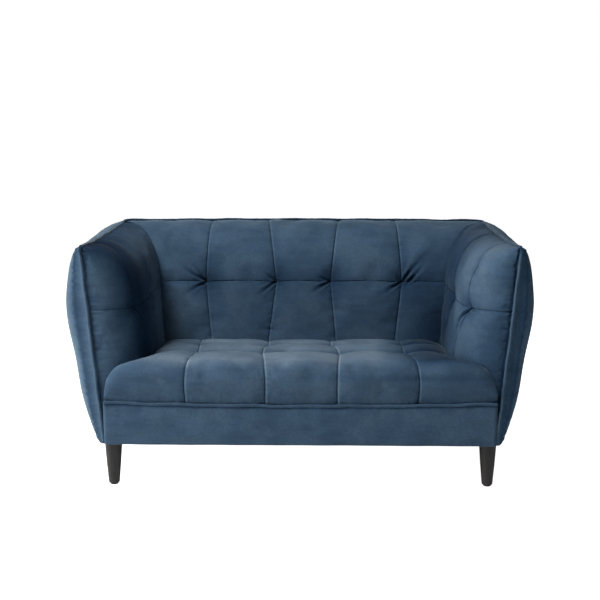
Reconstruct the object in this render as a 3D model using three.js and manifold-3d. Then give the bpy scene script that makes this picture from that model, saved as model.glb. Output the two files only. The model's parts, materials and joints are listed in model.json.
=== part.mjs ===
// A compact two-seat sofa on turned wooden legs, in millimetres, +Z up, +X to the sitter's left as seen
// from the front, the front facing -Y, and the origin on the floor under the middle of the sofa.
//
// It is built as the real one is: a softwood base frame with sinuous springs, two arm frames and a back
// frame standing on it, foam-padded pads inside and padded shells outside that meet in one welted seam,
// and four legs screwed into steel plates under the corner blocks.

import * as THREE from "three";
import { mergeVertices } from "three/addons/utils/BufferGeometryUtils.js";
import Module from "manifold-3d";

const wasm = await Module();
wasm.setup();

const { clamp, lerp } = THREE.MathUtils;

// ---- Driving dimensions ----------------------------------------------------------------------------

const LEG_HEIGHT = 150; // floor to the underside of the upholstery
const ARM_TOP = 806; // welt on the front end of each arm
const BACK_TOP = 820; // welt along the back
const DECK_TOP = 272; // upper edge of the base rails
const SEAT_CROWN = 430; // highest line of the seat, just behind its front edge
const SEAT_REAR = 402; // seat height where it meets the back
const SEAT_FRONT_Y = -410; // the seat's foremost swelling
const SEAT_HALF_WIDTH = 640;

const FRONT_SEAM_Y = -390; // plane of the welts on the arm fronts
const REAR_TOP_Y = 331; // welt along the back
const REAR_FOOT_Y = 286; // foot of the back's seam plane
const FRONT_TOP_HALF_WIDTH = 704; // arm seam at its front upper corner
const REAR_TOP_HALF_WIDTH = 689; // arm seam at its rear upper corner
const FRONT_FOOT_HALF_WIDTH = 645;
const REAR_FOOT_HALF_WIDTH = 640;

const ARM_PAD = 150; // full thickness of the arm's inner pad
const BACK_PAD = 178;
const ARM_SHELL = 90; // how far the outer shells swell past the seam planes
const BACK_SHELL = 92;
const PAD_EDGE = 8; // thickness that a pad or shell keeps at its seams
const SEAT_WELT_MID_Z = 286;
const SEAT_WELT_RISE = 10; // the seat welt sags this much between its ends
const WELT_RADIUS = 5;

const GAP = 0.35; // clearance between neighbouring pieces
const SLOT = 0.6; // clearance round a frame member let into foam
const OPEN = 4; // how far a slot's cutter runs past the foam's open face

const RAIL_BOTTOM = LEG_HEIGHT + 4.4;
const RAIL_OUTER_X = 636;
const RAIL_THICKNESS = 26;
const FRONT_RAIL_Y = -385.4;
const REAR_RAIL_Y = 281;
const SPRING_COUNT = 6;
const SPRING_PITCH = 190; // from one spring to the next

const LEG = { x: 623, y: 348, rearY: 236, topRadius: 29, footRadius: 18, splay: 2 };
const GLIDE = { radius: 13.5, height: 5 };
const BOLT_RADIUS = 4;
const BOLT_HOLE_RADIUS = 4.4;

// ---- Materials -------------------------------------------------------------------------------------

const material = (color, roughness, metalness = 0) =>
  new THREE.MeshStandardMaterial({ color, roughness, metalness });

const MATERIALS = {
  velvet: material(0x3c566e, 0.85),
  welt: material(0x35506a, 0.8),
  leg: material(0x2b2728, 0.45),
  glide: material(0x1c1c1c, 0.6),
  frame: material(0xc8a878, 0.75),
  board: material(0x8a6a48, 0.8),
  steel: material(0xb4b6ba, 0.35, 1),
  felt: material(0x8c8c88, 0.95),
  dustCover: material(0x1e1f21, 0.95),
};

const sofa = new THREE.Group();

function addPiece(name, geometry, slot) {
  const mesh = new THREE.Mesh(geometry, MATERIALS[slot]);
  mesh.name = name;
  sofa.add(mesh);
  return mesh;
}

// The same right-hand geometry on both sides: the left one is its mirror image.
function addPair(name, geometry, slot) {
  addPiece(`${name}_right`, geometry, slot);
  addPiece(`${name}_left`, geometry, slot).scale.x = -1;
}

// ---- Solids ----------------------------------------------------------------------------------------

function toSolid(geometry) {
  const bare = geometry.clone();
  bare.deleteAttribute("normal");
  bare.deleteAttribute("uv");
  const merged = mergeVertices(bare, 1e-3);
  return new wasm.Manifold(
    new wasm.Mesh({
      numProp: 3,
      vertProperties: new Float32Array(merged.attributes.position.array),
      triVerts: new Uint32Array(merged.index.array),
    }),
  );
}

function toGeometry(solid) {
  const mesh = solid.getMesh();
  const geometry = new THREE.BufferGeometry();
  geometry.setAttribute("position", new THREE.BufferAttribute(mesh.vertProperties, 3));
  geometry.setIndex(new THREE.BufferAttribute(mesh.triVerts, 1));
  geometry.computeVertexNormals();
  return geometry;
}

const cut = (geometry, cutters) =>
  toGeometry(cutters.reduce((solid, cutter) => solid.subtract(toSolid(cutter)), toSolid(geometry)));

// A box whose corners run from (0, 0, 0) to (1, 1, 1), moved point by point by `place`.
function warpedBox(segments, place) {
  const geometry = new THREE.BoxGeometry(1, 1, 1, ...segments);
  const position = geometry.attributes.position;
  for (let i = 0; i < position.count; i++) {
    const share = [position.getX(i), position.getY(i), position.getZ(i)].map((c) => c + 0.5);
    position.setXYZ(i, ...place(...share));
  }
  geometry.computeVertexNormals();
  return geometry;
}

function block([x0, x1], [y0, y1], [z0, z1]) {
  return new THREE.BoxGeometry(x1 - x0, y1 - y0, z1 - z0).translate(
    (x0 + x1) / 2,
    (y0 + y1) / 2,
    (z0 + z1) / 2,
  );
}

function uprightCylinder(x, y, [z0, z1], radius, sides = 20) {
  return new THREE.CylinderGeometry(radius, radius, z1 - z0, sides)
    .rotateX(Math.PI / 2)
    .translate(x, y, (z0 + z1) / 2);
}

// A turned solid about an upright axis, from a profile of [radius, z] points.
const turned = (profile, sides) =>
  new THREE.LatheGeometry(
    profile.map(([r, z]) => new THREE.Vector2(r, z)),
    sides,
  ).rotateX(Math.PI / 2);

// A tube along points; each stretch between two points gets the same number of steps.
function tubeAlong(points, radius, sides, stepsEach) {
  const path = new THREE.CatmullRomCurve3(points, false, "centripetal");
  path.getUtoTmapping = (u) => u;
  const section = new THREE.Shape(
    Array.from({ length: sides }, (_, i) => {
      const angle = (2 * Math.PI * (i + 0.5)) / sides;
      return new THREE.Vector2(radius * Math.cos(angle), radius * Math.sin(angle));
    }),
  );
  return new THREE.ExtrudeGeometry(section, {
    steps: (points.length - 1) * stepsEach,
    extrudePath: path,
  });
}

// ---- The seam planes that pads, shells and frames are measured from --------------------------------

const denserAtEnds = (share) => (1 - Math.cos(Math.PI * share)) / 2;

// Share of the full thickness that padding has `distance` from a seam, rounding over `reach`.
function swell(distance, reach, power = 2.4) {
  const left = clamp(1 - distance / reach, 0, 1);
  return (1 - left ** power) ** (1 / power);
}

const topAt = (along) => lerp(ARM_TOP, BACK_TOP, clamp(along, 0, 1));
const alongArm = (y) => (y - FRONT_SEAM_Y) / (REAR_TOP_Y - FRONT_SEAM_Y);

function armSeamX(z, along = 1) {
  const rise = (z - LEG_HEIGHT) / (topAt(along) - LEG_HEIGHT);
  const foot = lerp(FRONT_FOOT_HALF_WIDTH, REAR_FOOT_HALF_WIDTH, clamp(along, 0, 1));
  return lerp(foot, lerp(FRONT_TOP_HALF_WIDTH, REAR_TOP_HALF_WIDTH, clamp(along, 0, 1)), rise);
}

const backSeamY = (z) =>
  lerp(REAR_FOOT_Y, REAR_TOP_Y, (z - LEG_HEIGHT) / (BACK_TOP - LEG_HEIGHT));

const armPadAt = (y, z) =>
  PAD_EDGE +
  (ARM_PAD - PAD_EDGE) *
    swell(y - FRONT_SEAM_Y - WELT_RADIUS, 170, 2) *
    swell(topAt(alongArm(y)) - z, 200);

const backPadAt = (z) => PAD_EDGE + (BACK_PAD - PAD_EDGE) * swell(BACK_TOP - z, 240, 2);

// ---- Legs ------------------------------------------------------------------------------------------

function legGeometry() {
  const top = LEG_HEIGHT - GAP;
  const edge = 1.5;
  const bottom = GLIDE.height + GAP;
  const profile = [
    [0, bottom],
    [LEG.footRadius - edge, bottom],
    [LEG.footRadius, bottom + edge],
    [lerp(LEG.footRadius, LEG.topRadius, 0.55), lerp(bottom, top, 0.5)],
    [LEG.topRadius, top - edge],
    [LEG.topRadius - edge, top],
    [0, top],
  ];
  // The leg leans outwards towards its foot, with both ends cut level.
  const lean = new THREE.Matrix4().makeShear(0, 0, 0, 0, -LEG.splay / top, 0);
  const geometry = turned(profile, 24).translate(0, 0, -top).applyMatrix4(lean).translate(0, 0, top);
  return cut(geometry, [uprightCylinder(0, 0, [top - 44, top + 1], BOLT_HOLE_RADIUS)]);
}

function hangerBoltGeometry() {
  const [low, high] = [LEG_HEIGHT - 42, LEG_HEIGHT + 24];
  return turned(
    [
      [0, low],
      [BOLT_RADIUS - 1.5, low],
      [BOLT_RADIUS, low + 3],
      [BOLT_RADIUS, high - 1],
      [BOLT_RADIUS - 1, high],
      [0, high],
    ],
    12,
  );
}

// A steel plate with a raised, tapped boss that the hanger bolt screws into.
function legPlateGeometry() {
  const [low, high] = [LEG_HEIGHT + 2, RAIL_BOTTOM - GAP];
  const plate = toSolid(block([-38, 12], [-25, 25], [low, high]));
  const boss = toSolid(uprightCylinder(0, 0, [low, high + 9], 9));
  return cut(toGeometry(plate.add(boss)), [
    uprightCylinder(0, 0, [low - 1, high + 10], BOLT_HOLE_RADIUS),
  ]);
}

function glideGeometry() {
  const { radius, height } = GLIDE;
  const profile = [
    [0, 0],
    [radius - 1, 0],
    [radius, 1],
    [radius, height - 1],
    [radius - 1, height],
    [0, height],
  ];
  return turned(profile, 20);
}

const corners = [-1, 1].flatMap((side) =>
  [
    ["front", -LEG.y],
    ["rear", LEG.rearY],
  ].map(([end, y]) => ({ side, y, name: `${end}_${side > 0 ? "right" : "left"}` })),
);

for (const { side, y, name } of corners) {
  const pieces = [
    ["leg", legGeometry(), "leg", 0],
    ["hanger_bolt", hangerBoltGeometry(), "steel", 0],
    ["leg_plate", legPlateGeometry(), "steel", 0],
    ["glide", glideGeometry(), "glide", LEG.splay],
  ];
  for (const [kind, geometry, slot, outwards] of pieces) {
    const piece = addPiece(`${kind}_${name}`, geometry, slot);
    piece.position.set(side * (LEG.x + outwards), y, 0);
    piece.scale.x = side;
  }
}

// ---- Base frame ------------------------------------------------------------------------------------

const railZ = [RAIL_BOTTOM, DECK_TOP];
const blockInnerX = 545;
const sideRailX = [RAIL_OUTER_X - RAIL_THICKNESS, RAIL_OUTER_X];
const frontBlockY = [FRONT_RAIL_Y + RAIL_THICKNESS + GAP, -282];
const rearBlockY = [170, REAR_RAIL_Y - RAIL_THICKNESS - GAP];
const armBoltX = 624;
const armBoltY = [-250, 120];

addPiece(
  "base_front_rail",
  block([-RAIL_OUTER_X, RAIL_OUTER_X], [FRONT_RAIL_Y, FRONT_RAIL_Y + RAIL_THICKNESS], railZ),
  "frame",
);
addPiece(
  "base_rear_rail",
  block([-RAIL_OUTER_X, RAIL_OUTER_X], [REAR_RAIL_Y - RAIL_THICKNESS, REAR_RAIL_Y], railZ),
  "frame",
);
addPiece(
  "base_centre_rail",
  block([-13, 13], [frontBlockY[0], rearBlockY[1]], [RAIL_BOTTOM, DECK_TOP - 35]),
  "frame",
);
addPair(
  "base_side_rail",
  cut(block(sideRailX, [frontBlockY[1] + GAP, rearBlockY[0] - GAP], railZ), [
    ...armBoltY.map((y) => uprightCylinder(armBoltX, y, [225, DECK_TOP + 1], BOLT_HOLE_RADIUS)),
  ]),
  "frame",
);

for (const [end, blockY, legY] of [
  ["front", frontBlockY, -LEG.y],
  ["rear", rearBlockY, LEG.rearY],
]) {
  addPair(
    `${end}_corner_block`,
    cut(block([blockInnerX, RAIL_OUTER_X], blockY, [RAIL_BOTTOM, DECK_TOP - 2]), [
      uprightCylinder(LEG.x, legY, [RAIL_BOTTOM - 1, RAIL_BOTTOM + 40], 10.5),
    ]),
    "frame",
  );
}

// ---- Seat suspension -------------------------------------------------------------------------------

const SPRING = { wire: 2, halfWidth: 22, firstY: -370, lastY: 262, waves: 15 };
const springZ = DECK_TOP + SPRING.wire + GAP;

// A sinuous spring: one wire bent in level S-curves from the front rail to the rear rail.
function springGeometry() {
  const { firstY, lastY, waves, halfWidth, wire } = SPRING;
  const pitch = (lastY - firstY) / waves;
  const points = [new THREE.Vector3(-halfWidth, firstY, 0)];
  for (let wave = 0; wave < waves; wave++) {
    const side = wave % 2 ? -1 : 1;
    const y = firstY + (wave + 0.5) * pitch;
    points.push(new THREE.Vector3(side * (halfWidth - 5), y - pitch * 0.42, 0));
    points.push(new THREE.Vector3(side * halfWidth, y, 0));
    points.push(new THREE.Vector3(side * (halfWidth - 5), y + pitch * 0.42, 0));
  }
  return tubeAlong(points, wire, 6, 1);
}

for (let i = 0; i < SPRING_COUNT; i++) {
  const x = (i - (SPRING_COUNT - 1) / 2) * SPRING_PITCH;
  addPiece(`seat_spring_${i + 1}`, springGeometry(), "steel").position.set(x, 0, springZ);
}

const feltZ = [springZ + SPRING.wire + 1, springZ + SPRING.wire + 4];
const deckHalfWidth = 586;
addPiece(
  "spring_felt",
  block([-deckHalfWidth, deckHalfWidth], [FRONT_RAIL_Y + 2, REAR_RAIL_Y - 4], feltZ),
  "felt",
);

addPiece(
  "dust_cover",
  cut(
    block(
      [-RAIL_OUTER_X, RAIL_OUTER_X],
      [FRONT_RAIL_Y, REAR_RAIL_Y],
      [LEG_HEIGHT + GAP, LEG_HEIGHT + 1.6],
    ),
    corners.map(({ side, y }) =>
      uprightCylinder(side * LEG.x, y, [LEG_HEIGHT - 1, LEG_HEIGHT + 3], 6, 16),
    ),
  ),
  "dustCover",
);

// ---- Arm frames ------------------------------------------------------------------------------------

// A member that follows the leaning seam plane of the right arm. `depth` runs inwards from the plane;
// `high` may be a height or a distance below the sloping top, given as { below }. With `grow` it is the
// cutter for the member's slot, which is open towards the seam plane.
function armMember({ y, low, high, depth }, grow = 0) {
  const heightOf = (end, atY) => (typeof end === "object" ? topAt(alongArm(atY)) - end.below : end);
  return warpedBox([1, 3, 3], (a, b, c) => {
    const endZ = lerp(heightOf(low, REAR_TOP_Y), heightOf(high, REAR_TOP_Y), c);
    const lastY = typeof y[1] === "function" ? y[1](endZ) : y[1];
    const atY = lerp(y[0] - grow, lastY + grow, b);
    const z = lerp(heightOf(low, atY) - grow, heightOf(high, atY) + grow, c);
    const inwards = lerp(depth[1] + grow, grow > 0 ? -OPEN : depth[0], a);
    return [armSeamX(z, alongArm(atY)) - inwards, atY, z];
  });
}

const POST_DEPTH = 38; // of the back frame's posts, from its seam plane
const beforeBackPost = (z) => backSeamY(z) - POST_DEPTH - 3;
const beforeMitre = (z) => backSeamY(z) - 66;
const ARM_FRAME = {
  arm_front_post: { y: [-372, -330], low: 313, high: { below: 79 }, depth: [2, 30] },
  arm_top_rail: {
    y: [-372, beforeBackPost],
    low: { below: 78 },
    high: { below: 40 },
    depth: [2, 30],
  },
  arm_bottom_rail: { y: [-372, beforeMitre], low: DECK_TOP + 0.5, high: 312, depth: [2, 46] },
  arm_board: { y: [-372, beforeBackPost], low: 326, high: { below: 40 }, depth: [31, 34] },
};

const armBoltZ = [232, 312.5];
const armBoltHead = { radius: 7, height: 5 };

function armBoltGeometry(grow = 0) {
  const [low, seat] = armBoltZ;
  const radius = BOLT_RADIUS + grow;
  const head = armBoltHead.radius + grow;
  const top = seat + armBoltHead.height + grow;
  return turned(
    [
      [0, low],
      [radius, low],
      [radius, seat],
      [head, seat],
      [head, top - 1],
      [head - 1, top],
      [0, top],
    ],
    12,
  );
}

const armBoltCutters = armBoltY.map((y) => armBoltGeometry(SLOT).translate(armBoltX, y, 0));

for (const [name, member] of Object.entries(ARM_FRAME)) {
  const geometry = armMember(member);
  const bored = armBoltY.map((y) => uprightCylinder(armBoltX, y, [260, 320], BOLT_HOLE_RADIUS));
  addPair(name, name === "arm_bottom_rail" ? cut(geometry, bored) : geometry, "frame");
}

for (const [index, end] of ["front", "rear"].entries()) {
  addPair(
    `arm_bolt_${end}`,
    armBoltGeometry().translate(armBoltX, armBoltY[index], GAP),
    "steel",
  );
}

// ---- Back frame ------------------------------------------------------------------------------------

// A member that follows the leaning seam plane of the back, between x shares of the arm seam planes.
function backMember({ x, z, depth }, grow = 0) {
  return warpedBox([1, 1, 1], (a, b, c) => {
    const height = lerp(z[0] - grow, z[1] + grow, c);
    const [first, last] = x.map((end) => (typeof end === "function" ? end(height) : end));
    const across = lerp(first - grow, last + grow, a);
    const inwards = lerp(depth[1] + grow, grow > 0 ? -OPEN : depth[0], b);
    return [across, backSeamY(height) - inwards, height];
  });
}

const POST_WIDTH = 52;
const postInnerX = (z) => armSeamX(z) - POST_WIDTH - 2;
const backRailX = [(z) => GAP - postInnerX(z), (z) => postInnerX(z) - GAP];
const BACK_POST = {
  x: [postInnerX, (z) => armSeamX(z) - 2],
  z: [DECK_TOP + 0.5, 782],
  depth: [2, POST_DEPTH],
};
const BACK_FRAME = {
  back_top_rail: { x: backRailX, z: [736, 782], depth: [2, 34] },
  back_bottom_rail: { x: backRailX, z: [292, 330], depth: [2, 34] },
  back_board: { x: [-deckHalfWidth, deckHalfWidth], z: [292, 782], depth: [38.5, 41.5] },
};

addPair("back_post", backMember(BACK_POST), "frame");
for (const [name, member] of Object.entries(BACK_FRAME)) {
  addPiece(name, backMember(member), name === "back_board" ? "board" : "frame");
}

// ---- Padding: pads inside, shells outside ----------------------------------------------------------

const padLow = feltZ[1] + 1;

// Moves only the first and last of a row of shares outwards, by `step`.
const stretched = (share, step) => (share === 0 ? -step : share === 1 ? step : 0);

// The arm's inner pad before the frame is let into it. With `grow` it is the cutter that keeps the
// back pad and the seat clear of it, and its edges run past theirs.
const armPadBlank = (grow = 0) =>
  warpedBox([1, 12, 12], (a, b, c) => {
    const u = denserAtEnds(b);
    const z = lerp(padLow, topAt(u) - WELT_RADIUS, denserAtEnds(c));
    const inwards = 1 - a;
    const lastY = backSeamY(z) - inwards * backPadAt(z) - GAP;
    const y = lerp(FRONT_SEAM_Y + WELT_RADIUS, lastY, u);
    const corner = PAD_EDGE + (ARM_PAD - PAD_EDGE) * swell(topAt(u) - z, 200);
    const thickness = lerp(armPadAt(y, z), corner, u ** 4) + grow;
    const outer = armSeamX(z, u) - GAP + (a === 1 ? grow : 0);
    return [outer - inwards * thickness, y + stretched(b, 3 * grow), z + stretched(c, 3 * grow)];
  });

const mirrored = (solid) => solid.mirror([1, 0, 0]);

// Cuts a piece that spans the sofa with each right-hand cutter and its mirror image.
const cutBothSides = (geometry, cutters) =>
  toGeometry(
    cutters.map(toSolid).reduce(
      (solid, cutter) => solid.subtract(cutter).subtract(mirrored(cutter)),
      toSolid(geometry),
    ),
  );

function armPadGeometry() {
  const slots = Object.values(ARM_FRAME).map((member) => armMember(member, SLOT));
  return cut(armPadBlank(), [...slots, backMember(BACK_POST, SLOT), ...armBoltCutters]);
}

function backPadGeometry() {
  const whole = warpedBox([14, 1, 12], (a, b, c) => {
    const z = lerp(padLow, BACK_TOP - WELT_RADIUS, denserAtEnds(c));
    const inwards = 1 - b;
    const corner = PAD_EDGE + (ARM_PAD - PAD_EDGE) * swell(BACK_TOP - z, 200);
    const x = lerp(-1, 1, a) * (armSeamX(z) - inwards * corner + GAP);
    return [x, backSeamY(z) - GAP - inwards * backPadAt(z), z];
  });
  const slots = Object.values(BACK_FRAME).map((member) => backMember(member, SLOT));
  return cutBothSides(cut(whole, slots), [armPadBlank(1), backMember(BACK_POST, SLOT)]);
}

// Share of a shell's swelling, which dies away to nothing at its four seams.
const shellShare = (fromFront, fromRear, z, top) =>
  swell(fromFront, 130, 2.4) *
  swell(fromRear, 160, 2.4) *
  swell(top - z, 260, 2.2) *
  swell(z - LEG_HEIGHT, 330);

const shellLow = LEG_HEIGHT + GAP;

const armShellGeometry = () =>
  warpedBox([1, 12, 12], (outwards, b, c) => {
    const u = denserAtEnds(b);
    const z = lerp(shellLow, topAt(u) - WELT_RADIUS, denserAtEnds(c));
    const y = lerp(FRONT_SEAM_Y + WELT_RADIUS, backSeamY(z) - GAP, u);
    const share = shellShare(y - FRONT_SEAM_Y, backSeamY(z) - y, z, topAt(u));
    return [armSeamX(z, u) + GAP + outwards * (PAD_EDGE + (ARM_SHELL - PAD_EDGE) * share), y, z];
  });

const backShellGeometry = () =>
  warpedBox([16, 1, 12], (a, outwards, c) => {
    const z = lerp(shellLow, BACK_TOP - WELT_RADIUS, denserAtEnds(c));
    const half = armSeamX(z);
    const x = lerp(-half, half, denserAtEnds(a));
    const share = shellShare(half + x, half - x, z, BACK_TOP);
    return [x, backSeamY(z) + GAP + outwards * (PAD_EDGE + (BACK_SHELL - PAD_EDGE) * share), z];
  });

// ---- Seat ------------------------------------------------------------------------------------------

const seatRearY = backSeamY(SEAT_REAR) - BACK_PAD - 10;

// The seat fills the space between the pads; its front face swells and its shoulders are rounded.
function seatGeometry() {
  const whole = warpedBox([16, 12, 6], (a, b, c) => {
    const side = lerp(-1, 1, denserAtEnds(a));
    const depth = denserAtEnds(b);
    const swelling = Math.sin(Math.PI * c) ** 2 * swell((1 - Math.abs(side)) * SEAT_HALF_WIDTH, 60, 2);
    const frontY = lerp(FRONT_SEAM_Y - 1, SEAT_FRONT_Y, swelling);
    const y = lerp(frontY, seatRearY, depth);
    const padInnerX = (z) => armSeamX(z, alongArm(y)) - armPadAt(y, padLow);
    const fromSide = (1 - Math.abs(side)) * SEAT_HALF_WIDTH;
    const shoulder = lerp(110, 30, clamp(depth * 3, 0, 1));
    const crown = lerp(SEAT_CROWN, SEAT_REAR, depth);
    const top = lerp(SEAT_WELT_MID_Z + 50, crown, swell(fromSide, shoulder, 2.2));
    const z = lerp(padLow, top - 24 * (1 - swell(y - frontY, 50, 2.2)), c);
    return [side * Math.min(SEAT_HALF_WIDTH, padInnerX(z) + 4), y, z];
  });
  return cutBothSides(whole, [armPadBlank(1)]);
}

const borderGeometry = () =>
  warpedBox([1, 1, 2], (a, b, c) => {
    const z = lerp(LEG_HEIGHT + GAP, SEAT_WELT_MID_Z - 8, c);
    const y = lerp(FRONT_SEAM_Y - 8, FRONT_RAIL_Y - GAP, b);
    return [lerp(-1, 1, a) * (armSeamX(z, 0) - WELT_RADIUS - 1), y, z];
  });

addPair("arm_pad", armPadGeometry(), "velvet");
addPair("arm_shell", armShellGeometry(), "velvet");
addPiece("back_pad", backPadGeometry(), "velvet");
addPiece("back_shell", backShellGeometry(), "velvet");
addPiece("seat_cushion", seatGeometry(), "velvet");
addPiece("front_border", borderGeometry(), "velvet");

// ---- Welts -----------------------------------------------------------------------------------------

// One cord sewn into the seam: up an arm's front, back along its top, across the back, and down again.
function shellWeltGeometry() {
  const bend = WELT_RADIUS;
  const frontX = (z) => armSeamX(z, 0);
  const half = [
    [frontX(LEG_HEIGHT + 8), FRONT_SEAM_Y, LEG_HEIGHT + 8],
    [frontX(320), FRONT_SEAM_Y, 320],
    [frontX(480), FRONT_SEAM_Y, 480],
    [frontX(640), FRONT_SEAM_Y, 640],
    [frontX(ARM_TOP - bend), FRONT_SEAM_Y, ARM_TOP - bend],
    [FRONT_TOP_HALF_WIDTH, FRONT_SEAM_Y + bend * 0.3, ARM_TOP - bend * 0.3],
    [FRONT_TOP_HALF_WIDTH, FRONT_SEAM_Y + bend, ARM_TOP],
    [armSeamX(topAt(0.35), 0.35), lerp(FRONT_SEAM_Y, REAR_TOP_Y, 0.35), topAt(0.35)],
    [armSeamX(topAt(0.7), 0.7), lerp(FRONT_SEAM_Y, REAR_TOP_Y, 0.7), topAt(0.7)],
    [REAR_TOP_HALF_WIDTH, REAR_TOP_Y - bend, BACK_TOP],
    [REAR_TOP_HALF_WIDTH - bend * 0.3, REAR_TOP_Y - bend * 0.3, BACK_TOP],
    [REAR_TOP_HALF_WIDTH - bend, REAR_TOP_Y, BACK_TOP],
    [REAR_TOP_HALF_WIDTH / 3, REAR_TOP_Y, BACK_TOP],
  ];
  const mirrored = [...half].reverse().map(([x, y, z]) => [-x, y, z]);
  const points = [...half, ...mirrored].map((p) => new THREE.Vector3(...p));
  return tubeAlong(points, WELT_RADIUS - GAP, 8, 2);
}

function seatWeltGeometry() {
  const half = SEAT_HALF_WIDTH - 4;
  const points = Array.from({ length: 9 }, (_, i) => {
    const share = lerp(-1, 1, i / 8);
    const z = SEAT_WELT_MID_Z + SEAT_WELT_RISE * share ** 2;
    return new THREE.Vector3(share * half, FRONT_SEAM_Y - 12, z);
  });
  return tubeAlong(points, WELT_RADIUS, 8, 2);
}

addPiece("shell_welt", shellWeltGeometry(), "welt");
addPiece("seat_welt", seatWeltGeometry(), "welt");

// The origin lies on the floor under the middle of the sofa's bounding box.
const bounds = new THREE.Box3().setFromObject(sofa);
for (const piece of sofa.children) piece.position.y -= (bounds.min.y + bounds.max.y) / 2;

export default sofa;
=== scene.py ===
"""The looks of a compact two-seat sofa: tufted velvet over foam, piped seams and dark wooden legs.

Metres, +Z up, the front facing -Y. Each soft solid of the frame is replaced by a padded piece. Its
cover is laid out in cells between the seams, drawn in at the seams and tufts, and then settles as
cloth that is pinned where it is sewn and pushed out by the foam behind it.
"""

import json
import math

import bpy
import numpy as np
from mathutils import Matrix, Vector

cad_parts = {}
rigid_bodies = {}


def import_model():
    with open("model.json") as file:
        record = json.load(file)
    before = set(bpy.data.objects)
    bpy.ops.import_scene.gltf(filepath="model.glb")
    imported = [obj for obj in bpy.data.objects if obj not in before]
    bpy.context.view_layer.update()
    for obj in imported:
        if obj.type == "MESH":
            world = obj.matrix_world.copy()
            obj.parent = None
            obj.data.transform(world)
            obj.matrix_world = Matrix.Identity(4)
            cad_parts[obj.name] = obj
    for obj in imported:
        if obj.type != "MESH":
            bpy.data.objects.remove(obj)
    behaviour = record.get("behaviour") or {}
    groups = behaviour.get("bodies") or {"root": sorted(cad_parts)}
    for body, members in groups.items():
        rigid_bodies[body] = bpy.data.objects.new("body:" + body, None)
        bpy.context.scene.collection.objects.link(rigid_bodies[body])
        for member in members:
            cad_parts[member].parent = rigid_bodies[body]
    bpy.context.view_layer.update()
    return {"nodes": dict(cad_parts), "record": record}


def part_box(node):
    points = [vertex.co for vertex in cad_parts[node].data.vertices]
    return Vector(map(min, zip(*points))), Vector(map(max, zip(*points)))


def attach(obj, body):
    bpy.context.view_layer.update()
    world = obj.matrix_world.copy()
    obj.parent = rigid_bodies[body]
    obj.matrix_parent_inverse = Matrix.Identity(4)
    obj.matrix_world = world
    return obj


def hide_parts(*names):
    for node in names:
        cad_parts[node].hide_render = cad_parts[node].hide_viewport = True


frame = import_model()

# ---- Measures, from the frame --------------------------------

WELT = 0.005  # radius of the piping
EDGE = 0.008  # thickness that padding keeps at its seams
BESIDE = 0.001  # how far a pad's cover starts from the seam's plane


def low(node):
    """A frame node's lowest corner."""
    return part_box(node)[0]


def high(node):
    """A frame node's highest corner."""
    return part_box(node)[1]


BASE = low("arm_shell_right").z
BACK_TOP = high("back_pad").z + WELT
ARM_TOP = BACK_TOP - 0.014
FRONT_Y = low("arm_pad_right").y - WELT
REAR_TOP_Y = high("back_pad").y
REAR_FOOT_Y = low("back_shell").y
FRONT_TOP_HALF = high("arm_pad_right").x + 0.001
REAR_TOP_HALF = high("back_shell").x
REAR_FOOT_HALF = low("arm_shell_right").x
FRONT_FOOT_HALF = REAR_FOOT_HALF + 0.005
ARM_SEAM_X = 0.685  # an arm's seam plane where its shell is thickest
BACK_SEAM_Y = 0.3185  # the back's seam plane there
ARM_PAD = 0.148  # this and the next three are thicknesses of padding
BACK_PAD = REAR_FOOT_Y + 0.008 - low("back_pad").y
ARM_SHELL = high("arm_shell_right").x - ARM_SEAM_X
BACK_SHELL = high("back_shell").y - BACK_SEAM_Y
SEAT_HALF = high("seat_cushion").x
SEAT_CROWN = high("seat_cushion").z
SEAT_FRONT_Y = low("seat_cushion").y
SEAT_WELT_Z = low("seat_welt").z + WELT
SEAT_WELT_RISE = high("seat_welt").z - low("seat_welt").z - 2 * WELT
BORDER_HALF = high("front_border").x - 0.005
BORDER_Y = low("front_border").y


def lerp(first, last, share):
    """The value `share` of the way from the first to the last."""
    return first + (last - first) * share


def swell(distance, reach, power=2.4):
    """Share of its full thickness that padding has `distance` from a seam."""
    left = np.clip(1 - distance / reach, 0, 1)
    return (1 - left**power) ** (1 / power)


def ramp(distance, reach):
    """0 up to the start of a stretch of length `reach`, 1 from its end on."""
    return np.clip(distance / reach, 0, 1)


def bump(share):
    """0 at both ends of a stretch, 1 in its middle."""
    return np.sin(np.pi * np.clip(share, 0, 1))


def arm_top(along):
    """Height of the welt along an arm: it dips a little between its corners."""
    along = np.clip(along, 0, 1)
    return lerp(ARM_TOP, BACK_TOP, along) - 0.009 * bump(along**0.75)


def arm_x(z, along=1.0):
    """Distance of the arm's seam plane from the middle of the sofa."""
    along = np.clip(along, 0, 1)
    rise = (z - BASE) / (lerp(ARM_TOP, BACK_TOP, along) - BASE)
    foot = lerp(FRONT_FOOT_HALF, REAR_FOOT_HALF, along)
    return lerp(foot, lerp(FRONT_TOP_HALF, REAR_TOP_HALF, along), rise)


def along_arm(y):
    """Share of the way along an arm, from its front to its rear."""
    return (y - FRONT_Y) / (REAR_TOP_Y - FRONT_Y)


def back_y(z):
    """The back's seam plane, which leans rearwards."""
    return lerp(REAR_FOOT_Y, REAR_TOP_Y, (z - BASE) / (BACK_TOP - BASE))


# ---- Irregularity --------------------------------------------


def ripple(x, pitch, seed):
    """An irregular wave of about unit height, its crests about `pitch` apart."""
    phase = np.random.default_rng(seed).uniform(0, 2 * np.pi, 4)
    scales = (0.55, 0.83, 1.0, 1.41)
    return sum(np.sin(2 * np.pi * x * s / pitch + f) for s, f in zip(scales, phase)) / 2.2


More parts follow.
